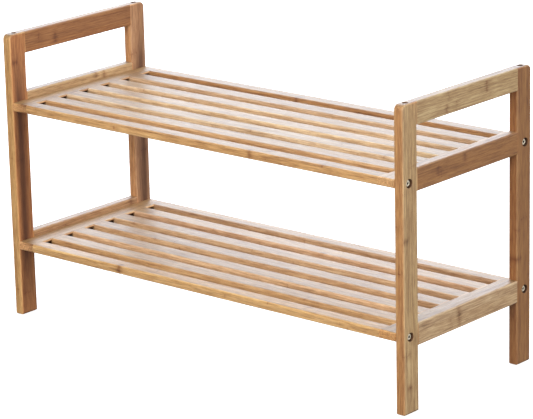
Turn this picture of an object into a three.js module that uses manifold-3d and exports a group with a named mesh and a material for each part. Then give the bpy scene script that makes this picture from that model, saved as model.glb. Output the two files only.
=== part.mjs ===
// Two-tier slatted bamboo bench and shoe rack.
// Two glued side frames (posts, handle rail and side rails) carry two slatted
// shelves. Each shelf is bolted to the posts with four hex-socket bolts that run
// through the posts into threaded inserts in the shelf's end crossbars.
// Millimetres, +Z up. Origin: centre of the footprint, on the floor.
// +X runs along the bench, -Y is the front.

import * as THREE from "three";
import { mergeVertices } from "three/addons/utils/BufferGeometryUtils.js";
import Module from "manifold-3d";

const wasm = await Module();
wasm.setup();

// ---- Driving dimensions -------------------------------------------------------

// Whole bench
const LENGTH = 730;
const DEPTH = 285;
const HEIGHT = 424;

// Side frames
const FRAME_THICKNESS = 15;
const POST_WIDTH = 31;
const RAIL_HEIGHT = 32;
const UPPER_RAIL_TOP = 335;
const LOWER_RAIL_TOP = 123;
const TOP_CORNER_RADIUS = 8;
const FOOT_CORNER_RADIUS = 1.5;
const FRAME_EDGE_RADIUS = 2.5;

// Shelves
const SHELF_THICKNESS = 12.5;
const UPPER_SHELF_TOP = 323.5;
const LOWER_SHELF_TOP = 113.5;
const CROSSBAR_WIDTH = 27;
const SLATS = 7;
const SLAT_PITCH = 44.4;
const SLOT_WIDTH = 18;
const SHELF_EDGE_RADIUS = 2.5;

// Glued joints: stub tenons on the rails in blind mortises in the posts, and tongues
// on the slats in a groove along the inner edge of each crossbar
const JOINT_CLEARANCE = 0.3;
const RAIL_TENON = { length: 10, height: 20, thickness: 6 };
const SLAT_TONGUE = { length: 8, width: 16, thickness: 6 };

// Bolts (M5 x 25, low socket heads) and threaded inserts
const BOLT_INSET = 13.5; // bolt axis to the post's outer long edge
const HEAD_DIAMETER = 8.5;
const HEAD_HEIGHT = 3.5;
const SOCKET_ACROSS_FLATS = 3;
const SOCKET_DEPTH = 2;
const SHANK_DIAMETER = 5;
const SHANK_LENGTH = 25;
const COUNTERBORE_DIAMETER = 12.4;
const COUNTERBORE_DEPTH = 6;
const CLEARANCE_HOLE_DIAMETER = 5.6;
const INSERT_DIAMETER = 8.6;
const INSERT_BORE = 5.6;
const INSERT_LENGTH = 14;
const INSERT_HOLE_DIAMETER = 9.2;

// Blind holes in both ends of every post, for stacking pins
const PIN_HOLE_DIAMETER = 8;
const PIN_HOLE_DEPTH = 12;
const PIN_HOLE_INSET = 15.5;

// Fineness of the curved faces
const EDGE_STEPS = 3;
const ROUND_SIDES = 20;

// ---- Derived dimensions -------------------------------------------------------

const HALF_DEPTH = DEPTH / 2;
const POST_INNER = HALF_DEPTH - POST_WIDTH; // |Y| of the posts' inner edges
const FRAME_X = LENGTH / 2 - FRAME_THICKNESS / 2; // |X| of the frames' mid-planes
const SHELF_HALF_LENGTH = LENGTH / 2 - FRAME_THICKNESS;
const SLAT_HALF_LENGTH = SHELF_HALF_LENGTH - CROSSBAR_WIDTH;
const RAIL_TOPS = {
  handle_rail: HEIGHT,
  upper_side_rail: UPPER_RAIL_TOP,
  lower_side_rail: LOWER_RAIL_TOP,
};
const BOLT_Y = HALF_DEPTH - BOLT_INSET;
const BOLT_HEIGHTS = {
  upper: UPPER_SHELF_TOP - SHELF_THICKNESS / 2,
  lower: LOWER_SHELF_TOP - SHELF_THICKNESS / 2,
};
const HEAD_SEAT = FRAME_THICKNESS / 2 - COUNTERBORE_DEPTH; // from the frame's mid-plane

// ---- Solids: joining and cutting ----------------------------------------------

function solid(geometry) {
  const g = geometry.clone();
  g.deleteAttribute("normal");
  g.deleteAttribute("uv");
  const merged = mergeVertices(g, 1e-4);
  return new wasm.Manifold(
    new wasm.Mesh({
      numProp: 3,
      vertProperties: new Float32Array(merged.attributes.position.array),
      triVerts: new Uint32Array(merged.index.array),
    }),
  );
}

function geometryOf(manifold) {
  const m = manifold.getMesh();
  const points = new Float32Array(m.numVert * 3);
  for (let i = 0; i < m.numVert; i++)
    points.set(m.vertProperties.subarray(i * m.numProp, i * m.numProp + 3), i * 3);
  const g = new THREE.BufferGeometry();
  g.setAttribute("position", new THREE.BufferAttribute(points, 3));
  g.setIndex(new THREE.BufferAttribute(new Uint32Array(m.triVerts), 1));
  g.computeVertexNormals();
  return g;
}

// A block given by its limits along X, Y and Z.
function block([x0, x1], [y0, y1], [z0, z1]) {
  return solid(
    new THREE.BoxGeometry(x1 - x0, y1 - y0, z1 - z0).translate(
      (x0 + x1) / 2,
      (y0 + y1) / 2,
      (z0 + z1) / 2,
    ),
  );
}

// A round bar along X between x0 and x1, on the axis (y, z).
function roundX(diameter, x0, x1, y = 0, z = 0, sides = ROUND_SIDES) {
  return solid(
    new THREE.CylinderGeometry(diameter / 2, diameter / 2, x1 - x0, sides)
      .rotateZ(-Math.PI / 2)
      .translate((x0 + x1) / 2, y, z),
  );
}

// A round bar along Z between z0 and z1, on the axis (x, y).
function roundZ(diameter, z0, z1, x = 0, y = 0) {
  return solid(
    new THREE.CylinderGeometry(diameter / 2, diameter / 2, z1 - z0, ROUND_SIDES)
      .rotateX(Math.PI / 2)
      .translate(x, y, (z0 + z1) / 2),
  );
}

// A plate of the given outline with all its long edges rounded, centred on its
// own mid-plane, with its thickness along +Z.
function roundedPlate(shape, thickness, radius) {
  return new THREE.ExtrudeGeometry(shape, {
    depth: thickness - 2 * radius,
    bevelEnabled: true,
    bevelThickness: radius,
    bevelSize: radius,
    bevelOffset: -radius,
    bevelSegments: EDGE_STEPS,
    curveSegments: 5,
    steps: 1,
  }).translate(0, 0, -(thickness - 2 * radius) / 2);
}

function rectanglePath(x0, x1, y0, y1) {
  return new THREE.Path([
    new THREE.Vector2(x0, y0),
    new THREE.Vector2(x0, y1),
    new THREE.Vector2(x1, y1),
    new THREE.Vector2(x1, y0),
  ]);
}

// ---- Side frame ---------------------------------------------------------------

// The frame's outline in its own plane: two legs joined by three rails, with the
// two upper outer corners rounded.
function frameOutline() {
  const h = HALF_DEPTH;
  const i = POST_INNER;
  const r = TOP_CORNER_RADIUS;
  const f = FOOT_CORNER_RADIUS;
  const under = LOWER_RAIL_TOP - RAIL_HEIGHT;
  const s = new THREE.Shape();
  s.moveTo(-h + f, 0);
  s.lineTo(-i - f, 0);
  s.lineTo(-i, f);
  s.lineTo(-i, under);
  s.lineTo(i, under);
  s.lineTo(i, f);
  s.lineTo(i + f, 0);
  s.lineTo(h - f, 0);
  s.lineTo(h, f);
  s.lineTo(h, HEIGHT - r);
  s.absarc(h - r, HEIGHT - r, r, 0, Math.PI / 2, false);
  s.lineTo(-h + r, HEIGHT);
  s.absarc(-h + r, HEIGHT - r, r, Math.PI / 2, Math.PI, false);
  s.lineTo(-h, f);
  s.closePath();
  s.holes.push(rectanglePath(-i, i, LOWER_RAIL_TOP, UPPER_RAIL_TOP - RAIL_HEIGHT));
  s.holes.push(rectanglePath(-i, i, UPPER_RAIL_TOP, HEIGHT - RAIL_HEIGHT));
  return s;
}

// The outline's plane is laid on Y and Z, with the thickness along X.
const toFramePlane = new THREE.Matrix4().makeBasis(
  new THREE.Vector3(0, 1, 0),
  new THREE.Vector3(0, 0, 1),
  new THREE.Vector3(1, 0, 0),
);
const frameBlank = solid(
  roundedPlate(frameOutline(), FRAME_THICKNESS, FRAME_EDGE_RADIUS).applyMatrix4(
    toFramePlane,
  ),
);
const WIDE = FRAME_THICKNESS; // reaches past both faces of a frame

// One post, with its outer face towards +X; side is -1 for the post at -Y.
function makePost(side) {
  const ys = [side * POST_INNER, side * (HALF_DEPTH + 5)].sort((a, b) => a - b);
  let post = frameBlank.intersect(block([-WIDE, WIDE], ys, [-5, HEIGHT + 5]));
  for (const top of Object.values(RAIL_TOPS)) {
    const mid = top - RAIL_HEIGHT / 2;
    const t = RAIL_TENON.thickness / 2 + JOINT_CLEARANCE;
    const hh = RAIL_TENON.height / 2 + JOINT_CLEARANCE;
    const reach = [
      side * (POST_INNER - 1),
      side * (POST_INNER + RAIL_TENON.length + JOINT_CLEARANCE),
    ].sort((a, b) => a - b);
    post = post.subtract(block([-t, t], reach, [mid - hh, mid + hh]));
  }
  for (const z of Object.values(BOLT_HEIGHTS)) {
    post = post.subtract(
      roundX(CLEARANCE_HOLE_DIAMETER, -WIDE, WIDE, side * BOLT_Y, z),
    );
    post = post.subtract(
      roundX(COUNTERBORE_DIAMETER, HEAD_SEAT, WIDE, side * BOLT_Y, z),
    );
  }
  const pinY = side * (HALF_DEPTH - PIN_HOLE_INSET);
  post = post.subtract(
    roundZ(PIN_HOLE_DIAMETER, HEIGHT - PIN_HOLE_DEPTH, HEIGHT + 1, 0, pinY),
  );
  post = post.subtract(roundZ(PIN_HOLE_DIAMETER, -1, PIN_HOLE_DEPTH, 0, pinY));
  return geometryOf(post);
}

// One rail of the frame, with a stub tenon on each end.
function makeRail(top) {
  const mid = top - RAIL_HEIGHT / 2;
  const body = frameBlank.intersect(
    block(
      [-WIDE, WIDE],
      [-POST_INNER, POST_INNER],
      [top - RAIL_HEIGHT - 1, top + 1],
    ),
  );
  const reach = POST_INNER + RAIL_TENON.length;
  const tenons = block(
    [-RAIL_TENON.thickness / 2, RAIL_TENON.thickness / 2],
    [-reach, reach],
    [mid - RAIL_TENON.height / 2, mid + RAIL_TENON.height / 2],
  );
  return geometryOf(body.add(tenons));
}

// ---- Shelf --------------------------------------------------------------------

// Slat edges across the bench, front to rear.
const slatEdges = [];
for (let n = 0; n < SLATS; n++) {
  const centre = (n - (SLATS - 1) / 2) * SLAT_PITCH;
  const half = (SLAT_PITCH - SLOT_WIDTH) / 2;
  slatEdges.push([
    n === 0 ? -HALF_DEPTH : centre - half,
    n === SLATS - 1 ? HALF_DEPTH : centre + half,
  ]);
}

const TALL = SHELF_THICKNESS;

// Outlines run counter-clockwise and the holes in them clockwise.
function rectangleShape(x0, x1, y0, y1) {
  return new THREE.Shape(rectanglePath(x0, x1, y0, y1).getPoints().reverse());
}

// The space of one slot, flaring out at both faces where the slot's edges are
// rounded: what a rounded plate with that slot in it leaves free.
function slotSpace(y0, y1) {
  const x = SLAT_HALF_LENGTH;
  const around = SHELF_EDGE_RADIUS + 1;
  const far = 20;
  const shape = rectangleShape(-x - far, x + far, y0 - far, y1 + far);
  shape.holes.push(rectanglePath(-x, x, y0, y1));
  const plate = solid(roundedPlate(shape, SHELF_THICKNESS, SHELF_EDGE_RADIUS));
  return block(
    [-x - around, x + around],
    [y0 - around, y1 + around],
    [-SHELF_THICKNESS / 2, SHELF_THICKNESS / 2],
  ).subtract(plate);
}

// The whole shelf as one plate with its slots; the two ends are cut square later.
let shelfBlank = solid(
  roundedPlate(
    rectangleShape(
      -SHELF_HALF_LENGTH - 10,
      SHELF_HALF_LENGTH + 10,
      -HALF_DEPTH,
      HALF_DEPTH,
    ),
    SHELF_THICKNESS,
    SHELF_EDGE_RADIUS,
  ),
);
for (let n = 0; n + 1 < SLATS; n++)
  shelfBlank = shelfBlank.subtract(slotSpace(slatEdges[n][1], slatEdges[n + 1][0]));

function tongueWidth([y0, y1]) {
  return Math.min(SLAT_TONGUE.width, y1 - y0 - 6);
}

// End crossbar with its outer edge towards +X, its groove and its bolt holes.
function makeCrossbar() {
  let bar = shelfBlank.intersect(
    block(
      [SLAT_HALF_LENGTH, SHELF_HALF_LENGTH],
      [-HALF_DEPTH - 5, HALF_DEPTH + 5],
      [-TALL, TALL],
    ),
  );
  // The groove runs from the first slat's tongue to the last slat's, stopped short
  // of the bar's ends, and lies open between the slats.
  const outerSlat = slatEdges[SLATS - 1];
  const grooveEnd =
    (outerSlat[0] + outerSlat[1]) / 2 + tongueWidth(outerSlat) / 2 + JOINT_CLEARANCE;
  const grooveHalf = SLAT_TONGUE.thickness / 2 + JOINT_CLEARANCE;
  bar = bar.subtract(
    block(
      [SLAT_HALF_LENGTH - 1, SLAT_HALF_LENGTH + SLAT_TONGUE.length + JOINT_CLEARANCE],
      [-grooveEnd, grooveEnd],
      [-grooveHalf, grooveHalf],
    ),
  );
  const boltEnd = FRAME_X + HEAD_SEAT - SHANK_LENGTH;
  for (const side of [-1, 1]) {
    bar = bar.subtract(
      roundX(
        INSERT_HOLE_DIAMETER,
        SHELF_HALF_LENGTH - INSERT_LENGTH - JOINT_CLEARANCE,
        SHELF_HALF_LENGTH + 1,
        side * BOLT_Y,
      ),
    );
    bar = bar.subtract(
      roundX(
        CLEARANCE_HOLE_DIAMETER,
        boltEnd - 0.5,
        SHELF_HALF_LENGTH + 1,
        side * BOLT_Y,
      ),
    );
  }
  return geometryOf(bar.translate([-SHELF_HALF_LENGTH, 0, 0]));
}

// One slat with a tongue on each end.
function makeSlat(edges) {
  const mid = (edges[0] + edges[1]) / 2;
  const body = shelfBlank.intersect(
    block(
      [-SLAT_HALF_LENGTH, SLAT_HALF_LENGTH],
      [edges[0] - 1, edges[1] + 1],
      [-TALL, TALL],
    ),
  );
  const reach = SLAT_HALF_LENGTH + SLAT_TONGUE.length;
  const hw = tongueWidth(edges) / 2;
  const tongues = block(
    [-reach, reach],
    [mid - hw, mid + hw],
    [-SLAT_TONGUE.thickness / 2, SLAT_TONGUE.thickness / 2],
  );
  return geometryOf(body.add(tongues).translate([0, -mid, 0]));
}

// ---- Bolt and insert ----------------------------------------------------------

// Bolt along X, its head's seat at x = 0 and its shank towards -X.
function makeBolt() {
  const r = HEAD_DIAMETER / 2;
  const s = SHANK_DIAMETER / 2;
  const profile = [
    [0, -SHANK_LENGTH],
    [s - 0.8, -SHANK_LENGTH],
    [s, -SHANK_LENGTH + 0.8],
    [s, 0],
    [r, 0],
    [r, HEAD_HEIGHT - 0.6],
    [r - 0.6, HEAD_HEIGHT],
    [0, HEAD_HEIGHT],
  ].map(([x, y]) => new THREE.Vector2(x, y));
  const body = solid(
    new THREE.LatheGeometry(profile, ROUND_SIDES).rotateZ(-Math.PI / 2),
  );
  const socket = roundX(
    (SOCKET_ACROSS_FLATS * 2) / Math.sqrt(3),
    HEAD_HEIGHT - SOCKET_DEPTH,
    HEAD_HEIGHT + 1,
    0,
    0,
    6,
  );
  return geometryOf(body.subtract(socket));
}

// Threaded insert along X, its mouth at x = 0 and its body towards -X.
function makeInsert() {
  const r = INSERT_DIAMETER / 2;
  const b = INSERT_BORE / 2;
  const profile = [
    [b, -INSERT_LENGTH],
    [r - 0.6, -INSERT_LENGTH],
    [r, -INSERT_LENGTH + 1],
    [r, 0],
    [b, 0],
    [b, -INSERT_LENGTH],
  ].map(([x, y]) => new THREE.Vector2(x, y));
  return geometryOf(
    solid(new THREE.LatheGeometry(profile, ROUND_SIDES).rotateZ(-Math.PI / 2)),
  );
}

// ---- Materials ----------------------------------------------------------------

// Satin-lacquered bamboo, a little different on every board.
const BAMBOO = ["#cda06a", "#c89a63", "#d2a673", "#c4955c", "#cb9f70", "#bf9059"];
let boards = 0;
const bamboo = () =>
  new THREE.MeshStandardMaterial({
    color: BAMBOO[boards++ % BAMBOO.length],
    roughness: 0.42,
    metalness: 0,
  });
const zincSteel = () =>
  new THREE.MeshStandardMaterial({ color: "#b9b4aa", roughness: 0.35, metalness: 1 });
const brass = () =>
  new THREE.MeshStandardMaterial({ color: "#b5924c", roughness: 0.4, metalness: 1 });

function piece(name, geometry, material, parent, x = 0, y = 0, z = 0) {
  const mesh = new THREE.Mesh(geometry, material);
  mesh.name = name;
  mesh.position.set(x, y, z);
  parent.add(mesh);
  return mesh;
}

// ---- Assembly -----------------------------------------------------------------

const bench = new THREE.Group();
bench.name = "bench";

const postMinus = makePost(-1);
const postPlus = makePost(1);
const railGeometries = Object.fromEntries(
  Object.entries(RAIL_TOPS).map(([name, top]) => [name, makeRail(top)]),
);
const crossbarGeometry = makeCrossbar();
const boltGeometry = makeBolt();
const insertGeometry = makeInsert();

// The left end is the right end turned half round about Z, so the post at -Y of
// the turned frame is its rear one.
for (const end of ["left", "right"]) {
  const turned = end === "left";
  const names = turned ? ["rear", "front"] : ["front", "rear"];
  const frame = new THREE.Group();
  frame.name = `${end}_frame`;
  frame.position.x = turned ? -FRAME_X : FRAME_X;
  frame.rotation.z = turned ? Math.PI : 0;
  bench.add(frame);
  piece(`${end}_${names[0]}_post`, postMinus, bamboo(), frame);
  piece(`${end}_${names[1]}_post`, postPlus, bamboo(), frame);
  for (const [name, geometry] of Object.entries(railGeometries))
    piece(`${end}_${name}`, geometry, bamboo(), frame);
  for (const [level, z] of Object.entries(BOLT_HEIGHTS))
    for (const [i, side] of [-1, 1].entries()) {
      const place = `${end}_${names[i]}_${level}`;
      piece(`bolt_${place}`, boltGeometry, zincSteel(), frame, HEAD_SEAT, side * BOLT_Y, z);
      piece(
        `insert_${place}`,
        insertGeometry,
        brass(),
        frame,
        -FRAME_THICKNESS / 2 - JOINT_CLEARANCE / 2,
        side * BOLT_Y,
        z,
      );
    }
}

for (const [level, top] of [
  ["upper", UPPER_SHELF_TOP],
  ["lower", LOWER_SHELF_TOP],
]) {
  const shelf = new THREE.Group();
  shelf.name = `${level}_shelf`;
  shelf.position.z = top - SHELF_THICKNESS / 2;
  bench.add(shelf);
  for (const end of ["left", "right"]) {
    const bar = piece(
      `${level}_shelf_${end}_crossbar`,
      crossbarGeometry,
      bamboo(),
      shelf,
      end === "left" ? -SHELF_HALF_LENGTH : SHELF_HALF_LENGTH,
    );
    bar.rotation.z = end === "left" ? Math.PI : 0;
  }
  slatEdges.forEach((edges, n) =>
    piece(
      `${level}_shelf_slat_${n + 1}`,
      makeSlat(edges),
      bamboo(),
      shelf,
      0,
      (edges[0] + edges[1]) / 2,
    ),
  );
}

export default bench;
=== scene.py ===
"""Two-tier slatted bamboo bench and shoe rack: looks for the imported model.

Every board is modelled here again, with its true rounded edges, joints and holes,
in the place that its CAD node holds. Metres, +Z up, -Y is the front.
"""
import math
import random

import bmesh
import bpy
from mathutils import Matrix, Vector


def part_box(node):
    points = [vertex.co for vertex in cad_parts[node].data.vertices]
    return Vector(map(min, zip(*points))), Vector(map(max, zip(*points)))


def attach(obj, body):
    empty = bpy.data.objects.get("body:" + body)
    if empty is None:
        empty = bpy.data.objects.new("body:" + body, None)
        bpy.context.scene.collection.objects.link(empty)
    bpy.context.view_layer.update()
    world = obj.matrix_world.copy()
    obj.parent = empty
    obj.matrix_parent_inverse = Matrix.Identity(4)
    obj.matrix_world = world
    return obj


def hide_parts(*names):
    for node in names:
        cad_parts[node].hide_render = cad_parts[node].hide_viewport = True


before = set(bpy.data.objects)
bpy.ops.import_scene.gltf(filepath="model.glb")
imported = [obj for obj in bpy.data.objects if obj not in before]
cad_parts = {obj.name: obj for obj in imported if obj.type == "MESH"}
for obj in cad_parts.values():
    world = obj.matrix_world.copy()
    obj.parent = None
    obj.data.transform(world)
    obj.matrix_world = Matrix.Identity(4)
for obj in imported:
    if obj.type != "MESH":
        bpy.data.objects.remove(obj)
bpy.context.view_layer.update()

MM = 0.001
ENDS = ("left", "right")
LEVELS = ("upper", "lower")
SLATS = 7


# ------------------------------------------------------------------ measures
def extent(node, axis):
    low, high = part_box(node)
    return low[axis], high[axis]


HALF_L = extent("right_front_post", 0)[1]
FRAME_T = HALF_L - extent("right_front_post", 0)[0]
FRAME_X = HALF_L - FRAME_T / 2
HALF_D = extent("right_rear_post", 1)[1]
POST_IN = extent("right_rear_post", 1)[0]
HEIGHT = extent("right_rear_post", 2)[1]
RAILS = {
    name: extent("right_" + name, 2)
    for name in ("lower_side_rail", "upper_side_rail", "handle_rail")
}
SHELF_END = extent("upper_shelf_right_crossbar", 0)[1]
SLAT_END = extent("upper_shelf_right_crossbar", 0)[0]
SHELF_Z = {level: extent(f"{level}_shelf_slat_4", 2) for level in LEVELS}
SLAT_Y = [extent(f"upper_shelf_slat_{n + 1}", 1) for n in range(SLATS)]
BOLT_AXIS = {}
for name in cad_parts:
    if name.startswith("bolt_"):
        (y0, y1), (z0, z1) = extent(name, 1), extent(name, 2)
        BOLT_AXIS[name] = ((y0 + y1) / 2, (z0 + z1) / 2)

EDGE_R = 2.5 * MM
TOP_R = 8 * MM
FOOT_R = 1.5 * MM
COUNTERBORE_R = 6.2 * MM
COUNTERBORE_DEPTH = 6 * MM
BOLT_HOLE_R = 2.8 * MM
PIN_R = 4 * MM
PIN_DEPTH = 12 * MM
PIN_INSET = 15.5 * MM
JOINT_GAP = 0.06 * MM
GROOVE_HALF = 3.3 * MM      # the groove in a crossbar's inner edge, and how deep it is cut
GROOVE_DEPTH = 8.3 * MM
TONGUE = (8 * MM, 8 * MM, 3 * MM)   # a slat's tongue: length, half width, half thickness


# ------------------------------------------------------------------ mesh work
def smoothed(name, bm, angle=38):
    """A new object from bm: smooth, with sharp edges over the angle."""
    bmesh.ops.remove_doubles(bm, verts=bm.verts, dist=1e-6)
    bmesh.ops.recalc_face_normals(bm, faces=bm.faces)
    mesh = bpy.data.meshes.new(name)
    bm.to_mesh(mesh)
    bm.free()
    mesh.polygons.foreach_set("use_smooth", [True] * len(mesh.polygons))
    mesh.set_sharp_from_angle(angle=math.radians(angle))
    obj = bpy.data.objects.new(name, mesh)
    bpy.context.scene.collection.objects.link(obj)
    return obj


def weight_normals(obj):
    m = obj.modifiers.new("face_normals", "WEIGHTED_NORMAL")
    m.mode = "FACE_AREA"
    m.weight = 100
    m.keep_sharp = True


def extruded(points, faces, thickness, place):
    """A plate of flat faces (lists of point indices), thickened both ways about its plane."""
    bm = bmesh.new()
    low = [bm.verts.new(place(a, b, -thickness / 2)) for a, b in points]
    high = [bm.verts.new(place(a, b, thickness / 2)) for a, b in points]
    count = {}
    for f in faces:
        bm.faces.new([low[i] for i in reversed(f)])
        bm.faces.new([high[i] for i in f])
        for i, j in zip(f, f[1:] + f[:1]):
            count[(i, j)] = count.get((i, j), 0) + 1
    for (i, j) in count:
        if (j, i) not in count:
            bm.faces.new([low[i], low[j], high[j], high[i]])
    bmesh.ops.recalc_face_normals(bm, faces=bm.faces)
    return bm


def bevel(bm, edges, offset, segments):
    return bmesh.ops.bevel(
        bm, geom=list(edges), offset=offset, offset_type="OFFSET", segments=segments,
        profile=0.5, affect="EDGES", clamp_overlap=False, miter_outer="SHARP", miter_inner="SHARP",
        loop_slide=False,
    )


def cut(bm, point, normal):
    """Keeps what is behind the plane, and closes the cut."""
    geom = bm.verts[:] + bm.edges[:] + bm.faces[:]
    r = bmesh.ops.bisect_plane(
        bm, geom=geom, dist=1e-7, plane_co=point, plane_no=normal, clear_outer=True,
    )
    rim = [e for e in bm.edges if e.is_boundary]
    if rim:
        bmesh.ops.holes_fill(bm, edges=rim, sides=0)


def turned_cutter(profile, axis, at, steps=48):
    """A closed solid of revolution: profile is (distance along the axis, radius) from end to end."""
    bm = bmesh.new()
    rings = []
    for s, r in profile:
        if r < 1e-7:
            rings.append([bm.verts.new((0, 0, s))])
        else:
            rings.append([
                bm.verts.new((r * math.cos(2 * math.pi * k / steps), r * math.sin(2 * math.pi * k / steps), s))
                for k in range(steps)
            ])
    for a, b in zip(rings, rings[1:]):
        for k in range(steps):
            n = (k + 1) % steps
            if len(a) == 1:
                bm.faces.new([a[0], b[n], b[k]])
            elif len(b) == 1:
                bm.faces.new([a[k], a[n], b[0]])
            else:
                bm.faces.new([a[k], a[n], b[n], b[k]])
    for ring in (rings[0], rings[-1]):
        if len(ring) > 1:
            bm.faces.new(ring)
    bmesh.ops.recalc_face_normals(bm, faces=bm.faces)
    turn = Vector((0, 0, 1)).rotation_difference(Vector(axis)).to_matrix().to_4x4()
    bmesh.ops.transform(bm, matrix=Matrix.Translation(at) @ turn, verts=bm.verts)
    return bm


def as_object(name, bm):
    mesh = bpy.data.meshes.new(name)
    bm.to_mesh(mesh)
    bm.free()
    obj = bpy.data.objects.new(name, mesh)
    bpy.context.scene.collection.objects.link(obj)
    return obj


def drilled(bm, cutters):
    """bm less every cutter."""
    obj = as_object("work", bm)
    tools = [as_object("tool", c) for c in cutters]
    for tool in tools:
        m = obj.modifiers.new("cut", "BOOLEAN")
        m.operation, m.solver, m.object = "DIFFERENCE", "EXACT", tool
    deps = bpy.context.evaluated_depsgraph_get()
    mesh = bpy.data.meshes.new_from_object(obj.evaluated_get(deps), depsgraph=deps)
    out = bmesh.new()
    out.from_mesh(mesh)
    for o in (obj, *tools):
        old = o.data
        bpy.data.objects.remove(o)
        bpy.data.meshes.remove(old)
    bpy.data.meshes.remove(mesh)
    return out


# ------------------------------------------------------------------ side frames
def frame_plate():
    """Both legs and all three rails of one side frame as one solid, about X = 0."""
    rails = list(RAILS.values())
    zs = sorted(z for pair in rails for z in pair)
    points, index = [], {}

    def p(y, z):
        key = (round(y, 7), round(z, 7))
        if key not in index:
            index[key] = len(points)
            points.append((y, z))
        return index[key]

    front = [p(-HALF_D, 0), p(-POST_IN, 0)] + [p(-POST_IN, z) for z in zs] + [p(-HALF_D, HEIGHT)]
    rear = [p(POST_IN, 0), p(HALF_D, 0), p(HALF_D, HEIGHT)] + [p(POST_IN, z) for z in reversed(zs)]
    faces = [front, rear]
    for z0, z1 in rails:
        faces.append([p(-POST_IN, z0), p(POST_IN, z0), p(POST_IN, z1), p(-POST_IN, z1)])
    bm = extruded(points, faces, FRAME_T, lambda y, z, x: (x, y, z))

    def along_x(e):
        a, b = (v.co for v in e.verts)
        return abs(a.y - b.y) < 1e-7 and abs(a.z - b.z) < 1e-7

    def at(e, y, z):
        a = e.verts[0].co
        return abs(abs(a.y) - y) < 1e-6 and abs(a.z - z) < 1e-6

    bevel(bm, [e for e in bm.edges if along_x(e) and at(e, HALF_D, HEIGHT)], TOP_R, 10)
    bevel(bm, [e for e in bm.edges if along_x(e) and (at(e, HALF_D, 0) or at(e, POST_IN, 0))], FOOT_R, 3)
    rim = [
        e for e in bm.edges
        if len(e.link_faces) == 2 and e.calc_face_angle(0) > math.radians(60) and not along_x(e)
    ]
    bevel(bm, rim, EDGE_R, 6)
    # painted highlight: this attribute peaks in the middle of each rounded edge, and the material makes the colour
    # lighter there
    edge_sheen_and_plating_wear = bm.verts.layers.float.new("edge")
    for v in bm.verts:
        d = FRAME_T / 2 - abs(v.co.x)
        phi = math.acos(max(-1.0, min(1.0, 1 - d / EDGE_R))) if d < EDGE_R else math.pi / 2
        v[edge_sheen_and_plating_wear] = max(0.0, math.sin(2 * phi))
    return bm


plate = frame_plate()


def frame_board(name, end, kind):
    """One board cut from the frame plate. kind is front_post, rear_post or a rail's name."""
    bm = plate.copy()
    if kind in RAILS:
        z0, z1 = RAILS[kind]
        cut(bm, (0, POST_IN - JOINT_GAP, 0), (0, 1, 0))
        cut(bm, (0, -POST_IN + JOINT_GAP, 0), (0, -1, 0))
        far = [v for v in bm.verts if not z0 - 1e-6 <= v.co.z <= z1 + 1e-6]
        bmesh.ops.delete(bm, geom=far, context="VERTS")
    else:
        side = -1 if kind == "front_post" else 1
        cut(bm, (0, side * POST_IN, 0), (0, -side, 0))
    outer = 1 if end == "right" else -1
    if kind not in RAILS:
        tools = []
        for bolt, (y, z) in BOLT_AXIS.items():
            if bolt.startswith(f"bolt_{end}_{kind.split('_')[0]}"):
                face = outer * FRAME_T / 2
                # from inside the shelf side, through the clearance hole, to the counterbore's eased mouth
                prof = [
                    (-FRAME_T - 2 * MM, BOLT_HOLE_R),
                    (-COUNTERBORE_DEPTH, BOLT_HOLE_R),
                    (-COUNTERBORE_DEPTH, COUNTERBORE_R),
                    (-0.35 * MM, COUNTERBORE_R),
                    (0.05 * MM, COUNTERBORE_R + 0.4 * MM),
                    (1 * MM, COUNTERBORE_R + 0.4 * MM),
                ]
                tools.append(turned_cutter(prof, (outer, 0, 0), (face, y, z)))
        y = side * (HALF_D - PIN_INSET)
        for z, up in ((HEIGHT, 1), (0, -1)):
            prof = [
                (-PIN_DEPTH - 1.6 * MM, 0),
                (-PIN_DEPTH, PIN_R),
                (-0.4 * MM, PIN_R),
                (0.05 * MM, PIN_R + 0.45 * MM),
                (1 * MM, PIN_R + 0.45 * MM),
            ]
            tools.append(turned_cutter(prof, (0, 0, up), (0, y, z)))
        bm = drilled(bm, tools)
    bmesh.ops.translate(bm, vec=(outer * FRAME_X, 0, 0), verts=bm.verts)
    return smoothed(name, bm)


# ------------------------------------------------------------------ shelves
def shelf_plate():
    """One whole shelf about Z = 0: the two crossbars and the slats between them."""
    thick = SHELF_Z["upper"][1] - SHELF_Z["upper"][0]
    points, index = [], {}

    def p(x, y):
        key = (round(x, 7), round(y, 7))
        if key not in index:
            index[key] = len(points)
            points.append((x, y))
        return index[key]

    ys = [y for pair in SLAT_Y for y in pair]
    faces = [
        [p(-SHELF_END, -HALF_D)] + [p(-SLAT_END, y) for y in ys] + [p(-SHELF_END, HALF_D)],
        [p(SHELF_END, HALF_D)] + [p(SLAT_END, y) for y in reversed(ys)] + [p(SHELF_END, -HALF_D)],
    ]
    for y0, y1 in SLAT_Y:
        faces.append([p(-SLAT_END, y0), p(SLAT_END, y0), p(SLAT_END, y1), p(-SLAT_END, y1)])
    bm = extruded(points, faces, thick, lambda x, y, z: (x, y, z))

    def flat(e):
        a, b = (v.co for v in e.verts)
        return abs(a.z - b.z) < 1e-7

    def on_end(e):
        return all(abs(abs(v.co.x) - SHELF_END) < 1e-6 for v in e.verts)

    rim = [
        e for e in bm.edges
        if len(e.link_faces) == 2 and e.calc_face_angle(0) > math.radians(60) and flat(e) and not on_end(e)
    ]
    bevel(bm, rim, EDGE_R, 6)
    # painted highlight: this attribute peaks in the middle of each rounded edge, and the material makes the colour
    # lighter there
    edge_sheen_and_plating_wear = bm.verts.layers.float.new("edge")
    for v in bm.verts:
        d = thick / 2 - abs(v.co.z)
        phi = math.acos(max(-1.0, min(1.0, 1 - d / EDGE_R))) if d < EDGE_R else math.pi / 2
        v[edge_sheen_and_plating_wear] = max(0.0, math.sin(2 * phi))
    ends = [
        e for e in bm.edges
        if on_end(e) and e.calc_face_angle(0) > math.radians(50)
    ]
    bevel(bm, ends, 0.35 * MM, 2)
    return bm


shelf = shelf_plate()


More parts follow.
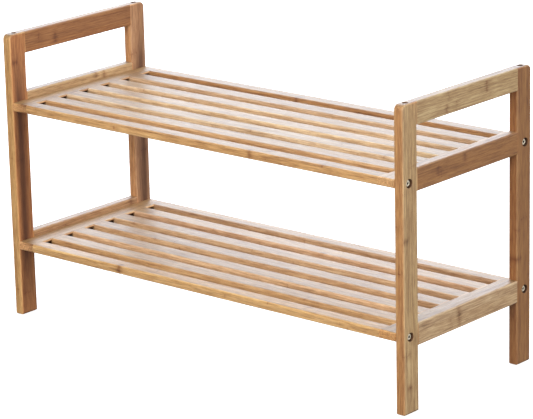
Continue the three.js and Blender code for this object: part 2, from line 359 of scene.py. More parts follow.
def box_mesh(x, y, z):
    bm = bmesh.new()
    bmesh.ops.create_cube(bm, size=1.0)
    for v in bm.verts:
        v.co = [lo if c < 0 else hi for c, (lo, hi) in zip(v.co, (x, y, z))]
    return bm


def tongue_reach():
    y0, y1 = SLAT_Y[-1]
    return (y0 + y1) / 2 + TONGUE[1]


def shelf_board(name, level, kind):
    bm = shelf.copy()
    if kind in ("left_crossbar", "right_crossbar"):
        out = 1 if kind == "right_crossbar" else -1
        cut(bm, (out * SLAT_END, 0, 0), (-out, 0, 0))
        reach = tongue_reach() + 0.3 * MM
        x = sorted((out * (SLAT_END - 1 * MM), out * (SLAT_END + GROOVE_DEPTH)))
        bm = drilled(bm, [box_mesh(x, (-reach, reach), (-GROOVE_HALF, GROOVE_HALF))])
    else:
        y0, y1 = SLAT_Y[kind]
        cut(bm, (SLAT_END - JOINT_GAP, 0, 0), (1, 0, 0))
        cut(bm, (-SLAT_END + JOINT_GAP, 0, 0), (-1, 0, 0))
        far = [v for v in bm.verts if not y0 - 1e-6 <= v.co.y <= y1 + 1e-6]
        bmesh.ops.delete(bm, geom=far, context="VERTS")
        mid = (y0 + y1) / 2
        for out in (-1, 1):
            x = sorted((out * (SLAT_END - 3 * MM), out * (SLAT_END + TONGUE[0])))
            tongue = box_mesh(x, (mid - TONGUE[1], mid + TONGUE[1]), (-TONGUE[2], TONGUE[2]))
            bevel(tongue, tongue.edges[:], 0.4 * MM, 2)
            part = bpy.data.meshes.new("tongue")
            tongue.to_mesh(part)
            tongue.free()
            bm.from_mesh(part)
            bpy.data.meshes.remove(part)
    z0, z1 = SHELF_Z[level]
    bmesh.ops.translate(bm, vec=(0, 0, (z0 + z1) / 2), verts=bm.verts)
    return smoothed(name, bm)


# ------------------------------------------------------------------ board coordinates
AXES = {  # (along the grain, across the face, through the thickness)
    "post": (2, 1, 0),
    "rail": (1, 2, 0),
    "slat": (0, 1, 2),
    "crossbar": (1, 0, 2),
}


# Cane knuckles that stand out on single boards: place along the grain, place across it, half width (mm, bench frame)
KNOTS = {
    "right_handle_rail": [(41.1, 413, 9), (-47.4, 401, 7)],
    "right_upper_side_rail": [(-66.4, 321, 8), (-8.2, 326, 6)],
    "right_lower_side_rail": [(-22.7, 107.5, 14)],
    "right_front_post": [(240.6, -136.5, 5), (37.1, -131.3, 6)],
    "right_rear_post": [(154.0, 116, 6)],
    "left_handle_rail": [(-50.2, 404, 8)],
    "left_front_post": [(382.1, -134, 6)],
    "left_rear_post": [(255.0, 130, 5)],
    "left_upper_side_rail": [(49.6, 329, 6), (32.4, 331.5, 5)],
    "left_lower_side_rail": [(97.8, 117, 6)],
    "upper_shelf_slat_7": [(-34.0, 124, 7)],
    "upper_shelf_slat_1": [(102.3, -140, 6)],
    "lower_shelf_slat_1": [(-150.0, -139, 6)],
}


def family(name):
    return next(k for k in AXES if k in name)


def write_grain(obj, tint, rng):
    """Gives each board its own run of the grain, as attributes that the bamboo material reads.
    tint holds one colour for each pair of faces: flat grain and edge grain of a board differ, and each face's colour
    also carries painted light and shade, lighter or darker as that face is lit."""
    mesh = obj.data
    order = AXES[family(obj.name)]
    co = [v.co.copy() for v in mesh.vertices]
    mid = [(min(c[a] for c in co) + max(c[a] for c in co)) / 2 for a in range(3)]
    half = [(max(c[a] for c in co) - min(c[a] for c in co)) / 2 for a in range(3)]
    flip = [rng.choice((-1, 1)) for _ in range(3)]
    for key in ("grain", "board", "tint", "knot_a", "knot_b"):
        mesh.attributes.new(key, "FLOAT_VECTOR", "POINT")
    knots = []
    listed = KNOTS.get(obj.name[len("board_"):], []) + [(1e4, 0, 1)] * 2
    for along, across, half_width in listed[:2]:
        knots.append((
            flip[0] * (along - mid[order[0]] / MM), flip[1] * (across - mid[order[1]] / MM), half_width,
        ))
    for key, knot in zip(("knot_a", "knot_b"), knots):
        mesh.attributes[key].data.foreach_set("vector", list(knot) * len(co))
    for key in ("ends", "bore"):
        mesh.attributes.new(key, "FLOAT", "POINT")
    grain, shift, colour, ends = (mesh.attributes[k] for k in ("grain", "board", "tint", "ends"))
    where = (rng.uniform(-9, 9), rng.uniform(-9, 9), rng.uniform(-9, 9))
    # how much of each vertex's flat faces looks along each axis
    facing = [[1e-12] * 3 for _ in co]
    for face in mesh.polygons:
        if max(abs(k) for k in face.normal) > 0.999:
            for i in face.vertices:
                for a in range(3):
                    facing[i][a] += face.area * face.normal[a] ** 2
    for v in mesh.vertices:
        if max(facing[v.index]) < 1e-10:
            facing[v.index] = [k * k for k in v.normal]
    for i, c in enumerate(co):
        grain.data[i].vector = [flip[k] * (c[a] - mid[a]) for k, a in enumerate(order)]
        shift.data[i].vector = where
        total = sum(facing[i])
        colour.data[i].vector = [sum(f * t[k] for f, t in zip(facing[i], tint)) / total for k in range(3)]
        ends.data[i].value = half[order[0]] - abs(c[order[0]] - mid[order[0]])


def write_raw_and_shaded_holes(obj):
    """Marks the walls of the holes and of the crossbars' grooves. The material darkens them: partly the raw wood of a
    cut wall, partly painted shade for the shadow that the recess holds.
    """
    mesh = obj.data
    mark = mesh.attributes["bore"]
    if "crossbar" in obj.name:
        z0, z1 = SHELF_Z["upper" if "upper" in obj.name else "lower"]
        for i, v in enumerate(mesh.vertices):
            inside = abs(v.co.z - (z0 + z1) / 2) < GROOVE_HALF + 1e-5 and SLAT_END - 1e-5 < abs(v.co.x) < SLAT_END + GROOVE_DEPTH + 1e-5
            mark.data[i].value = 1.0 if inside else 0.0
        return
    if "post" not in obj.name:
        return
    outer = 1 if "right" in obj.name else -1
    side = -1 if "front" in obj.name else 1
    for i, v in enumerate(mesh.vertices):
        c = v.co
        inside = False
        for y, z in set(BOLT_AXIS.values()):
            r = math.hypot(c.y - y, c.z - z)
            depth = HALF_L - outer * c.x
            if r < COUNTERBORE_R + 0.1 * MM and depth > 0.2 * MM and c.y * side > 0:
                inside = True
        r = math.hypot(c.x - outer * FRAME_X, c.y - side * (HALF_D - PIN_INSET))
        if r < PIN_R + 0.1 * MM and (c.z > HEIGHT / 2 and c.z < HEIGHT - 0.2 * MM or c.z < HEIGHT / 2 and c.z > 0.2 * MM):
            inside = True
        mark.data[i].value = 1.0 if inside else 0.0


# ------------------------------------------------------------------ material helpers
class Nodes:
    """Small helper: makes and links shader nodes by name."""

    def __init__(self, material):
        material.use_nodes = True
        self.tree = material.node_tree
        self.tree.nodes.clear()
        self.x = 0

    def add(self, kind, **settings):
        n = self.tree.nodes.new(kind)
        n.location = (self.x, 0)
        self.x += 180
        for k, v in settings.items():
            setattr(n, k, v)
        return n

    def put(self, socket, value):
        if isinstance(value, bpy.types.NodeSocket):
            self.tree.links.new(value, socket)
        elif value is not None:
            socket.default_value = value

    def math(self, op, a, b=None, c=None, clamp=False):
        n = self.add("ShaderNodeMath", operation=op, use_clamp=clamp)
        for s, v in zip(n.inputs, (a, b, c)):
            self.put(s, v)
        return n.outputs[0]

    def vmath(self, op, a, b=None, out=0):
        n = self.add("ShaderNodeVectorMath", operation=op)
        self.put(n.inputs[0], a)
        if b is not None:
            self.put(n.inputs[1], b)
        return n.outputs[out]

    def split(self, v):
        n = self.add("ShaderNodeSeparateXYZ")
        self.put(n.inputs[0], v)
        return n.outputs[0], n.outputs[1], n.outputs[2]

    def join(self, x, y, z):
        n = self.add("ShaderNodeCombineXYZ")
        for s, v in zip(n.inputs, (x, y, z)):
            self.put(s, v)
        return n.outputs[0]

    def attribute(self, name, out="Vector"):
        n = self.add("ShaderNodeAttribute", attribute_name=name)
        return n.outputs[out]

    def noise(self, vector, scale=1.0, detail=2.0, rough=0.5, distortion=0.0, out=0):
        n = self.add("ShaderNodeTexNoise", noise_dimensions="3D")
        self.put(n.inputs["Vector"], vector)
        n.inputs["Scale"].default_value = scale
        n.inputs["Detail"].default_value = detail
        n.inputs["Roughness"].default_value = rough
        n.inputs["Distortion"].default_value = distortion
        return n.outputs[out]

    def white(self, vector, out="Value"):
        n = self.add("ShaderNodeTexWhiteNoise", noise_dimensions="3D")
        self.put(n.inputs["Vector"], vector)
        return n.outputs[out]

    def ramp(self, value, low, high, a=0.0, b=1.0, smooth=True):
        n = self.add("ShaderNodeMapRange", interpolation_type="SMOOTHSTEP" if smooth else "LINEAR")
        n.clamp = True
        for s, v in zip(n.inputs, (value, low, high, a, b)):
            self.put(s, v)
        return n.outputs[0]

    def mix(self, factor, a, b, blend="MIX"):
        n = self.add("ShaderNodeMix", data_type="RGBA", blend_type=blend)
        n.clamp_factor = True
        self.put(n.inputs["Factor"], factor)
        self.put(n.inputs["A"], a)
        self.put(n.inputs["B"], b)
        return n.outputs["Result"]


def rgba(r, g, b):
    return (r, g, b, 1.0)


def bamboo_material():
    """Clear-lacquered laminated bamboo. Everything is worked out in millimetres on the board:
    x along the grain, y across the laminated strips, z through the thickness."""
    mat = bpy.data.materials.new("lacquered_bamboo")
    n = Nodes(mat)
    grain = n.vmath("SCALE", n.attribute("grain"))
    grain.node.inputs["Scale"].default_value = 1000.0
    board = n.attribute("board")
    tint = n.attribute("tint")
    edge = n.attribute("edge", "Fac")
    bore = n.attribute("bore", "Fac")
    ends = n.attribute("ends", "Fac")
    x, y, z = n.split(grain)
    bx, by, bz = n.split(board)

    # the board is three 5.2 mm layers of strips about 15 mm wide, each with its own tone and knuckles
    layer = n.math("FLOOR", n.math("ADD", n.math("DIVIDE", z, 5.2), 0.5))
    wander = n.noise(n.join(n.math("MULTIPLY", x, 0.004), by, bz), 1.0, 0.0)
    drift = n.math("MULTIPLY", n.math("SUBTRACT", wander, 0.5), 0.35)
    s = n.math("ADD", n.math("ADD", n.math("DIVIDE", y, 15.2), drift), n.math("MULTIPLY", bx, 3.7))
    s = n.math("ADD", s, n.math("MULTIPLY", layer, 0.37))
    strip = n.math("FLOOR", s)
    within = n.math("SUBTRACT", s, strip)
    strip = n.math("ADD", strip, n.math("MULTIPLY", layer, 17.0))
    tone = n.white(n.join(strip, n.math("MULTIPLY", by, 7.1), n.math("MULTIPLY", bz, 3.3)))
    place = n.white(n.join(n.math("ADD", strip, 40.5), bx, bz))
    hue = n.white(n.join(n.math("ADD", strip, 91.5), by, bx))

    # knuckles: the scar where the cane had a joint, at its own places on every strip
    bend = n.noise(n.join(n.math("MULTIPLY", x, 0.02), n.math("MULTIPLY", y, 0.30), place), 1.0, 3.0, 0.6)
    spacing = n.math("ADD", 190.0, n.math("MULTIPLY", hue, 90.0))
    run = n.math("ADD", n.math("DIVIDE", n.math("ADD", x, n.math("MULTIPLY", place, 900.0)), spacing), 50.0)
    count = n.math("FLOOR", run)
    along = n.math("SUBTRACT", n.math("SUBTRACT", run, count), 0.5)
    lean = n.math("MULTIPLY", n.math("SUBTRACT", within, 0.5), n.math("MULTIPLY", n.math("SUBTRACT", tone, 0.5), 6.0))
    to_knuckle = n.math("ADD", n.math("MULTIPLY", along, spacing), n.math("MULTIPLY", n.math("SUBTRACT", bend, 0.5), 9.0))
    away = n.math("ABSOLUTE", n.math("ADD", to_knuckle, lean))
    strength = n.ramp(n.white(n.join(count, strip, bz)), 0.15, 0.8, 0.25, 1.0)
    patchy = n.ramp(n.noise(n.join(n.math("MULTIPLY", x, 0.10), n.math("MULTIPLY", y, 0.22), n.math("ADD", place, 5.0)), 1.0, 2.0), 0.38, 0.62, 0.15, 1.0)
    scar = n.math("MULTIPLY", n.math("MULTIPLY", n.ramp(away, 0.5, 2.0, 1.0, 0.0), strength), patchy)
    halo = n.math("MULTIPLY", n.ramp(away, 1.5, 11.0, 1.0, 0.0), strength)

    for key in ("knot_a", "knot_b"):
        kx, ky, kh = n.split(n.attribute(key))
        dx = n.math("ABSOLUTE", n.math("ADD", n.math("SUBTRACT", x, kx), n.math("MULTIPLY", n.math("SUBTRACT", bend, 0.5), 8.0)))
        dy = n.math("DIVIDE", n.math("ABSOLUTE", n.math("SUBTRACT", y, ky)), kh)
        span = n.ramp(dy, 0.65, 1.15, 1.0, 0.0)
        scar = n.math("MAXIMUM", scar, n.math("MULTIPLY", n.math("MULTIPLY", n.ramp(dx, 0.5, 3.2, 0.75, 0.0), span), n.ramp(patchy, 0.0, 1.0, 0.45, 1.0)))
        halo = n.math("MAXIMUM", halo, n.math("MULTIPLY", n.ramp(dx, 1.0, 9.0, 1.7, 0.0), span))

    # fibres: long bundles that show as dots on the end grain
    fine = n.noise(n.join(n.math("MULTIPLY", x, 0.022), n.math("MULTIPLY", y, 1.6), n.math("ADD", n.math("MULTIPLY", z, 1.6), bx)), 1.0, 3.0, 0.6)
    broad = n.noise(n.join(n.math("MULTIPLY", x, 0.009), n.math("MULTIPLY", y, 0.40), n.math("ADD", n.math("MULTIPLY", z, 0.40), by)), 1.0, 3.0, 0.6)
    fleck = n.noise(n.join(n.math("MULTIPLY", x, 0.055), n.math("MULTIPLY", y, 0.58), n.math("ADD", n.math("MULTIPLY", z, 0.58), bx)), 1.0, 2.0, 0.55)
    cloud = n.noise(n.join(n.math("MULTIPLY", x, 0.009), n.math("MULTIPLY", y, 0.085), n.math("ADD", n.math("MULTIPLY", z, 0.085), bz)), 1.0, 2.0, 0.55)
    thread = n.noise(n.join(n.math("MULTIPLY", x, 0.05), n.math("MULTIPLY", y, 5.5), n.math("ADD", n.math("MULTIPLY", z, 5.5), by)), 1.0, 2.0, 0.65)
    cell = n.add("ShaderNodeTexVoronoi", voronoi_dimensions="3D", feature="F1")
    n.put(cell.inputs["Vector"], n.join(n.math("MULTIPLY", x, 0.085), n.math("MULTIPLY", y, 1.15), n.math("ADD", n.math("MULTIPLY", z, 1.15), bz)))
    cell.inputs["Scale"].default_value = 1.0
    dash = n.ramp(cell.outputs["Distance"], 0.12, 0.30, 1.0, 0.0)
    glue = n.ramp(n.math("ABSOLUTE", n.math("SUBTRACT", within, 0.5)), 0.485, 0.498, 0.0, 1.0)

    # colour: the board's own tint, with each face's painted light and shade in it, moved by all of these
    level = n.math("ADD", n.ramp(tone, 0.0, 1.0, -0.11, 0.10, False), n.ramp(fine, 0.25, 0.75, -0.15, 0.13))
    level = n.math("ADD", level, n.ramp(broad, 0.28, 0.72, -0.23, 0.18))
    level = n.math("ADD", level, n.ramp(cloud, 0.3, 0.7, -0.08, 0.07))
    level = n.math("ADD", level, n.ramp(fleck, 0.30, 0.70, -0.19, 0.16))
    level = n.math("ADD", level, n.ramp(thread, 0.32, 0.68, -0.07, 0.06))
    level = n.math("SUBTRACT", level, n.math("MULTIPLY", dash, 0.21))
    level = n.math("SUBTRACT", level, n.math("MULTIPLY", halo, 0.15))
    level = n.math("SUBTRACT", level, n.math("MULTIPLY", glue, 0.08))
    # painted highlight on the rounded edges: the colour is made lighter there
    level = n.math("ADD", level, n.math("MULTIPLY", edge, 0.13))
    bright = n.math("ADD", 1.0, level)
    base = n.vmath("MULTIPLY", tint, n.join(bright, bright, bright))
    # darker grain is redder, lighter grain is yellower
    warm = n.join(
        n.math("ADD", 1.0, n.math("MULTIPLY", level, -0.12)),
        n.math("ADD", 1.0, n.math("MULTIPLY", level, 0.22)),
        n.math("ADD", 1.0, n.math("MULTIPLY", level, 0.50)),
    )
    base = n.vmath("MULTIPLY", base, warm)
    swing = n.math("SUBTRACT", hue, 0.5)
    base = n.vmath("MULTIPLY", base, n.join(
        n.math("ADD", 1.0, n.math("MULTIPLY", swing, 0.05)), 1.0,
        n.math("SUBTRACT", 1.0, n.math("MULTIPLY", swing, 0.14)),
    ))
    base = n.mix(n.math("MULTIPLY", scar, 0.85), base, n.vmath("MULTIPLY", base, (0.58, 0.34, 0.22)))
    # a hairline of glue and painted shadow where a board ends against its neighbour
    glue_and_shade_seam = n.ramp(n.math("MULTIPLY", ends, 1000.0), 0.12, 0.55, 1.0, 0.0)
    base = n.mix(n.math("MULTIPLY", glue_and_shade_seam, 0.45), base, n.vmath("MULTIPLY", base, (0.45, 0.38, 0.32)))
    # bored holes and the grooves: raw wood, darker, with painted shade of the recess on top
    base = n.mix(n.math("MULTIPLY", bore, 0.92), base, n.vmath("MULTIPLY", base, (0.20, 0.13, 0.09)))

    # lacquer: satin, a little uneven, thinner on the rounded edges
    sheen_map = n.noise(n.join(n.math("MULTIPLY", x, 0.03), n.math("MULTIPLY", y, 0.35), n.math("ADD", n.math("MULTIPLY", z, 0.35), bx)), 1.0, 3.0, 0.6)
    rough = n.ramp(sheen_map, 0.3, 0.7, 0.46, 0.58)
    rough = n.math("ADD", rough, n.math("MULTIPLY", edge, 0.05))
    rough = n.math("ADD", rough, n.math("MULTIPLY", bore, 0.35))

    # relief, in millimetres: fibres, strips, knuckles, and the lacquer's own slow waves
    waves = n.noise(n.join(n.math("MULTIPLY", x, 0.012), n.math("MULTIPLY", y, 0.06), bz), 1.0, 1.0)
    relief = n.math("ADD", n.math("MULTIPLY", fine, 0.020), n.math("MULTIPLY", thread, 0.008))
    relief = n.math("ADD", relief, n.math("MULTIPLY", broad, 0.030))
    relief = n.math("ADD", relief, n.math("MULTIPLY", tone, 0.012))
    relief = n.math("ADD", relief, n.math("MULTIPLY", waves, 0.10))
    relief = n.math("SUBTRACT", relief, n.math("MULTIPLY", glue, 0.020))
    relief = n.math("SUBTRACT", relief, n.math("MULTIPLY", dash, 0.012))
    relief = n.math("SUBTRACT", relief, n.math("MULTIPLY", scar, 0.030))
    bump = n.add("ShaderNodeBump")
    bump.inputs["Strength"].default_value = 1.0
    bump.inputs["Distance"].default_value = 0.001
    n.put(bump.inputs["Height"], relief)

    shader = n.add("ShaderNodeBsdfPrincipled")
    n.put(shader.inputs["Base Color"], base)
    n.put(shader.inputs["Roughness"], rough)
    n.put(shader.inputs["Normal"], bump.outputs[0])
    shader.inputs["IOR"].default_value = 1.5
    shader.inputs["Coat Weight"].default_value = 0.6
    shader.inputs["Coat Roughness"].default_value = 0.50
    shader.inputs["Coat IOR"].default_value = 1.5
    out = n.add("ShaderNodeOutputMaterial")
    n.put(out.inputs["Surface"], shader.outputs[0])
    return mat


def metal_material(name, colour, dark, rough_low, rough_high, metallic=1.0):
    """Plated metal with turning marks, patchy plating and dull handling marks.
    An attribute marks a socket's walls, which are painted near black as shade and made rougher."""
    mat = bpy.data.materials.new(name)
    n = Nodes(mat)
    co = n.add("ShaderNodeTexCoord").outputs["Object"]
    p = n.vmath("SCALE", co)
    p.node.inputs["Scale"].default_value = 1000.0
    patch = n.noise(p, 0.45, 3.0, 0.6)
    fine = n.noise(p, 6.0, 3.0, 0.7)
    x, y, z = n.split(p)
    turned = n.noise(n.join(n.math("MULTIPLY", x, 9.0), n.math("MULTIPLY", y, 0.3), n.math("MULTIPLY", z, 0.3)), 1.0, 2.0)
    edge_sheen_and_plating_wear = n.ramp(patch, 0.42, 0.66)
    n_col = n.mix(edge_sheen_and_plating_wear, rgba(*colour), rgba(*dark))
    n_col = n.mix(n.math("MULTIPLY", n.ramp(fine, 0.55, 0.75), 0.25), n_col, rgba(*dark))
    deep = n.attribute("deep", "Fac")
    # painted shade: the socket's walls are painted near black
    n_col = n.mix(n.math("MULTIPLY", deep, 0.93), n_col, rgba(0.035, 0.026, 0.020))
    rough = n.math("ADD", n.ramp(patch, 0.35, 0.7, rough_low, rough_high), n.ramp(fine, 0.4, 0.7, 0.0, 0.08))
    rough = n.math("ADD", rough, n.math("MULTIPLY", deep, 0.35))
    bump = n.add("ShaderNodeBump")
    bump.inputs["Strength"].default_value = 0.6
    bump.inputs["Distance"].default_value = 0.00002
    n.put(bump.inputs["Height"], n.math("ADD", turned, n.math("MULTIPLY", fine, 0.5)))
    shader = n.add("ShaderNodeBsdfPrincipled")
    n.put(shader.inputs["Base Color"], n_col)
    shader.inputs["Metallic"].default_value = metallic
    n.put(shader.inputs["Roughness"], rough)
    n.put(shader.inputs["Normal"], bump.outputs[0])
    out = n.add("ShaderNodeOutputMaterial")
    n.put(out.inputs["Surface"], shader.outputs[0])
    return mat


bamboo = bamboo_material()
zinc = metal_material("zinc_plated_steel", (0.95, 0.87, 0.70), (0.72, 0.63, 0.47), 0.36, 0.50, 0.55)
brass = metal_material("turned_brass", (0.72, 0.52, 0.25), (0.45, 0.31, 0.14), 0.30, 0.45)


# ------------------------------------------------------------------ the boards
# Natural bamboo differs from board to board: linear colour of each, per face. These colours also hold painted light
# and shade: the tops, the slot faces and the frames' inner and outer faces are made darker or lighter where the lamps
# light them too much or too little.
BASE = (0.60, 0.35, 0.145)
FACE_TONE_AND_SHADE = {
    "left_front_post": {"X": (0.73, 0.48, 0.345), "Y": (1.027, 0.946, 0.798), "Z": (0.72, 0.72, 0.72), "all": (0.926, 0.728, 0.576)},
    "left_handle_rail": {"X": (0.715, 0.522, 0.399), "Z": (0.969, 0.969, 0.969), "all": (0.715, 0.522, 0.399)},
    "left_lower_side_rail": {"X": (0.97, 0.925, 1.051), "Z": (0.883, 0.883, 0.883), "all": (0.97, 0.925, 1.051)},
    "left_rear_post": {"X": (0.705, 0.605, 0.69), "Y": (1.004, 0.844, 0.853), "Z": (0.72, 0.72, 0.72), "all": (0.884, 0.746, 0.821)},
    "left_upper_side_rail": {"X": (1.18, 1.354, 1.712), "Z": (0.72, 0.72, 0.72), "all": (1.18, 1.354, 1.712)},
    "lower_shelf_left_crossbar": {"X": (0.429, 0.264, 0.164), "Y": (1.76, 1.645, 1.742), "Z": (0.796, 0.796, 0.796), "all": (1.095, 0.955, 0.953)},
    "lower_shelf_right_crossbar": {"Y": (1.337, 1.172, 1.024), "Z": (0.721, 0.721, 0.721), "all": (1.337, 1.172, 1.024)},
    "lower_shelf_slat_1": {"Y": (1.172, 1.157, 1.109), "Z": (0.977, 0.977, 0.977), "all": (1.172, 1.157, 1.109)},
    "lower_shelf_slat_2": {"Y": (0.993, 0.973, 1.038), "Z": (0.805, 0.805, 0.805), "all": (0.993, 0.973, 1.038)},
    "lower_shelf_slat_3": {"Y": (1.217, 1.281, 1.645), "Z": (0.72, 0.72, 0.72), "all": (1.217, 1.281, 1.645)},
    "lower_shelf_slat_4": {"Y": (0.987, 0.996, 1.194), "Z": (0.72, 0.72, 0.72), "all": (0.987, 0.996, 1.194)},
    "lower_shelf_slat_5": {"Y": (1.021, 1.077, 1.388), "Z": (0.72, 0.72, 0.72), "all": (1.021, 1.077, 1.388)},
    "lower_shelf_slat_6": {"Y": (1.072, 1.079, 1.394), "Z": (0.72, 0.72, 0.72), "all": (1.072, 1.079, 1.394)},
    "lower_shelf_slat_7": {"Y": (0.903, 0.933, 1.209), "Z": (0.72, 0.72, 0.72), "all": (0.903, 0.933, 1.209)},
    "right_front_post": {"X": (0.777, 0.867, 0.966), "Y": (0.85, 0.691, 0.565), "Z": (0.885, 0.885, 0.885), "all": (0.814, 0.779, 0.765)},
    "right_handle_rail": {"X": (0.931, 1.118, 1.373), "Z": (0.935, 0.935, 0.935), "all": (0.931, 1.118, 1.373)},
    "right_lower_side_rail": {"X": (1.081, 1.311, 1.825), "Z": (0.802, 0.802, 0.802), "all": (1.081, 1.311, 1.825)},
    "right_rear_post": {"X": (0.431, 0.317, 0.212), "Y": (0.535, 0.356, 0.245), "Z": (0.72, 0.72, 0.72), "all": (0.483, 0.337, 0.228)},
    "right_upper_side_rail": {"X": (0.655, 0.524, 0.387), "Z": (1.141, 1.141, 1.141), "all": (0.655, 0.524, 0.387)},
    "upper_shelf_left_crossbar": {"X": (0.429, 0.264, 0.216), "Y": (1.563, 1.413, 1.332), "Z": (0.737, 0.737, 0.737), "all": (0.996, 0.839, 0.774)},
    "upper_shelf_right_crossbar": {"Y": (1.45, 1.415, 1.439), "Z": (0.902, 0.902, 0.902), "all": (1.45, 1.415, 1.439)},
    "upper_shelf_slat_1": {"Y": (1.129, 1.102, 1.097), "Z": (0.731, 0.731, 0.731), "all": (1.129, 1.102, 1.097)},
    "upper_shelf_slat_2": {"Y": (1.007, 0.998, 1.114), "Z": (0.721, 0.721, 0.721), "all": (1.007, 0.998, 1.114)},
    "upper_shelf_slat_3": {"Y": (1.197, 1.433, 2.095), "Z": (0.72, 0.72, 0.72), "all": (1.197, 1.433, 2.095)},
    "upper_shelf_slat_4": {"Y": (1.242, 1.446, 1.931), "Z": (0.755, 0.755, 0.755), "all": (1.242, 1.446, 1.931)},
    "upper_shelf_slat_5": {"Y": (1.182, 1.386, 1.998), "Z": (0.72, 0.72, 0.72), "all": (1.182, 1.386, 1.998)},
    "upper_shelf_slat_6": {"Y": (1.082, 1.189, 1.634), "Z": (0.728, 0.728, 0.728), "all": (1.082, 1.189, 1.634)},
    "upper_shelf_slat_7": {"Y": (0.767, 0.665, 0.623), "Z": (0.72, 0.72, 0.72), "all": (0.767, 0.665, 0.623)},
}


def face_tone_and_shade_of(name):
    """The colour of the faces that look along X, Y and Z, painted light and shade included."""
    rows = FACE_TONE_AND_SHADE.get(name, {})
    return [tuple(b * k for b, k in zip(BASE, rows.get(a, rows.get("all", (1.0, 1.0, 1.0))))) for a in "XYZ"]


def finish_board(obj):
    rng = random.Random("bench " + obj.name)
    if "edge" not in obj.data.attributes:
        obj.data.attributes.new("edge", "FLOAT", "POINT")
    write_grain(obj, face_tone_and_shade_of(obj.name[len("board_"):]), rng)
    write_raw_and_shaded_holes(obj)
    obj.data.materials.clear()
    obj.data.materials.append(bamboo)
    weight_normals(obj)
    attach(obj, "root")
    node = obj.name[len("board_"):]
    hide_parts(node)


for end in ENDS:
    for kind in ("front_post", "rear_post", *RAILS):
        finish_board(frame_board(f"board_{end}_{kind}", end, kind))
for level in LEVELS:
    for kind in ("left_crossbar", "right_crossbar"):
        finish_board(shelf_board(f"board_{level}_shelf_{kind}", level, kind))
    for k in range(SLATS):
        finish_board(shelf_board(f"board_{level}_shelf_slat_{k + 1}", level, k))
plate.free()
shelf.free()


# ------------------------------------------------------------------ bolts
def bolt_mesh(name, node):
    """Socket head bolt: eased cylinder head, hexagon socket with a drilled floor, threaded shank."""
    (x0, x1), (y, z) = extent(node, 0), BOLT_AXIS[node]
    out = 1 if x1 > 0 else -1
    head_r = (extent(node, 1)[1] - extent(node, 1)[0]) / 2
    tip, top = (x0, x1) if out > 0 else (x1, x0)
    length = abs(top - tip)
    head_h, shank_r = 3.5 * MM, 2.5 * MM
    hexa = 3 * MM / math.sqrt(3)
    # profile from the socket's rim outwards and down: (distance below the top, radius)
    steps = 72
    bm = bmesh.new()

    def ring(depth, radius, ripple=None):
        vs = []
        for k in range(steps):
            a = 2 * math.pi * k / steps
            r = radius if ripple is None else ripple(a)
            vs.append(bm.verts.new((-depth, r * math.cos(a), r * math.sin(a))))
        return vs

    def hex_r(scale=1.0):
        apothem = 1.5 * MM * scale

        def f(a):
            t = (a % (math.pi / 3)) - math.pi / 6
            return apothem / math.cos(t)
        return f

    rings = [
        ring(2.12 * MM, 0.7 * MM),
        ring(2.0 * MM, 0, hex_r(0.99)),
        ring(0.25 * MM, 0, hex_r()),
        ring(0.08 * MM, 0, lambda a: hex_r()(a) + 0.08 * MM),
        ring(0.0, 0, lambda a: hex_r()(a) + 0.22 * MM),
        ring(0.0, head_r - 0.85 * MM),
        ring(0.05 * MM, head_r - 0.56 * MM),
        ring(0.18 * MM, head_r - 0.29 * MM),
        ring(0.38 * MM, head_r - 0.09 * MM),
        ring(0.62 * MM, head_r),
        ring(head_h - 0.2 * MM, head_r),
        ring(head_h, head_r - 0.2 * MM),
        ring(head_h, shank_r + 0.25 * MM),
        ring(head_h + 0.25 * MM, shank_r),
        ring(head_h + 1.2 * MM, shank_r),
    ]
    # rolled thread, drawn as close rings of crest and root
    pitch = 0.8 * MM
    d = head_h + 1.4 * MM
    while d < length - 1.2 * MM:
        rings.append(ring(d, shank_r - 0.02 * MM))
        rings.append(ring(d + 0.30 * pitch, shank_r - 0.02 * MM))
        rings.append(ring(d + 0.55 * pitch, shank_r - 0.44 * MM))
        rings.append(ring(d + 0.75 * pitch, shank_r - 0.44 * MM))
        d += pitch
    rings.append(ring(length - 0.7 * MM, shank_r - 0.30 * MM))
    rings.append(ring(length, shank_r - 1.0 * MM))
    for a, b in zip(rings, rings[1:]):
        for k in range(steps):
            m = (k + 1) % steps
            bm.faces.new([a[k], a[m], b[m], b[k]])
    bm.faces.new(rings[0])
    bm.faces.new(list(reversed(rings[-1])))
    # each bolt was left turned its own way
    turn = random.Random(node).uniform(0, math.pi / 3)
    place = Matrix.Translation((top, y, z))
    if out < 0:
        place = place @ Matrix.Rotation(math.pi, 4, "Z")
    bmesh.ops.transform(bm, matrix=place @ Matrix.Rotation(turn, 4, "X"), verts=bm.verts)
    # painted shade: marks the socket's walls, which the material paints near black
    socket = bm.verts.layers.float.new("deep")
    for v in bm.verts:
        r = math.hypot(v.co.y - y, v.co.z - z)
        below = abs(v.co.x - top)
        v[socket] = 1.0 if below < 3 * MM and r < hexa + 0.15 * MM and (below > 0.05 * MM or r < hexa * 0.95) else 0.0
    obj = smoothed(name, bm, 32)
    obj.data.materials.append(zinc)
    weight_normals(obj)
    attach(obj, "root")
    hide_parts(node)
    return obj


for node in sorted(BOLT_AXIS):
    bolt_mesh("hex_" + node, node)
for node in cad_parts:
    if node.startswith("insert_"):
        obj = bpy.data.objects.get(node)
        obj.data.materials.clear()
        obj.data.materials.append(brass)


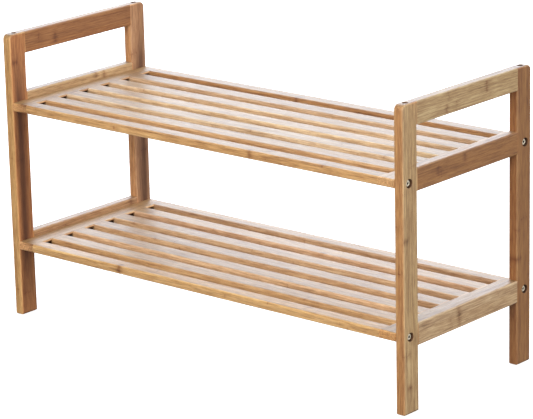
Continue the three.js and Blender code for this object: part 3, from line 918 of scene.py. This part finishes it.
# ------------------------------------------------------------------ floor, lights, camera
def floor_material():
    mat = bpy.data.materials.new("pale_floor")
    n = Nodes(mat)
    co = n.add("ShaderNodeTexCoord").outputs["Object"]
    soft = n.noise(co, 1.3, 3.0)
    grit = n.noise(co, 260.0, 2.0)
    colour = n.mix(soft, rgba(0.86, 0.86, 0.86), rgba(0.89, 0.885, 0.88))
    shader = n.add("ShaderNodeBsdfPrincipled")
    n.put(shader.inputs["Base Color"], colour)
    shader.inputs["Roughness"].default_value = 0.9
    shader.inputs["Specular IOR Level"].default_value = 0.1
    shader.inputs["Emission Color"].default_value = rgba(1, 1, 1)
    shader.inputs["Emission Strength"].default_value = 0.72
    bump = n.add("ShaderNodeBump")
    bump.inputs["Distance"].default_value = 0.0001
    n.put(bump.inputs["Height"], grit)
    n.put(shader.inputs["Normal"], bump.outputs[0])
    out = n.add("ShaderNodeOutputMaterial")
    n.put(out.inputs["Surface"], shader.outputs[0])
    return mat


bm = bmesh.new()
bmesh.ops.create_grid(bm, x_segments=2, y_segments=2, size=24.0)
floor = as_object("floor", bm)
floor.location = (0, 0, -0.0005)
floor.data.materials.append(floor_material())
floor.visible_diffuse = False   # a bright floor, but no glow from below on the wood
floor.visible_glossy = False

world = bpy.data.worlds.new("studio")
bpy.context.scene.world = world
world.use_nodes = True
sky = world.node_tree.nodes["Background"]
sky.inputs[0].default_value = rgba(1.0, 1.0, 1.0)
sky.inputs[1].default_value = 0.22


def softbox(name, where, aim, size, watts, colour=(1, 1, 1)):
    light = bpy.data.lights.new(name, "AREA")
    light.shape = "RECTANGLE"
    light.size, light.size_y = size
    light.energy = watts
    light.color = colour
    obj = bpy.data.objects.new(name, light)
    bpy.context.scene.collection.objects.link(obj)
    obj.location = where
    obj.rotation_euler = (Vector(aim) - Vector(where)).to_track_quat("-Z", "Y").to_euler()
    obj.visible_camera = False
    return obj


softbox("key", (0.9, -3.0, 1.5), (0, 0, 0.2), (2.0, 1.6), 90)
softbox("side", (3.2, 0.2, 0.95), (0, 0, 0.25), (2.8, 1.5), 64)
softbox("window", (-2.2, 2.6, 2.05), (0, 0, 0.25), (4.2, 4.2), 202, (0.76, 0.855, 0.98))

softbox("rim", (1.1, 2.6, 2.5), (0, 0, 0.3), (2.4, 1.8), 32)

bpy.context.scene.view_settings.view_transform = "Standard"
bpy.context.scene.view_settings.look = "None"

CAM = {"az": 40.793, "el": 16.229, "roll": -1.323, "dist": 4.010944, "f": 2823.7, "target": (0.008279, 0.0, 0.190707)}
az, el, roll = (math.radians(CAM[k]) for k in ("az", "el", "roll"))
back = Vector((math.sin(az) * math.cos(el), -math.cos(az) * math.cos(el), math.sin(el)))
right = Vector((math.cos(az), math.sin(az), 0))
up = back.cross(right)
r2 = right * math.cos(roll) + up * math.sin(roll)
u2 = -right * math.sin(roll) + up * math.cos(roll)
cam_data = bpy.data.cameras.new("camera")
cam_data.sensor_fit = "HORIZONTAL"
cam_data.sensor_width = 36.0
cam_data.lens = CAM["f"] / 533 * 36.0
cam_data.clip_end = 100
camera = bpy.data.objects.new("camera", cam_data)
bpy.context.scene.collection.objects.link(camera)
rot = Matrix((r2, u2, back)).transposed()
camera.matrix_world = Matrix.Translation(Vector(CAM["target"]) + back * CAM["dist"]) @ rot.to_4x4()
bpy.context.scene.camera = camera
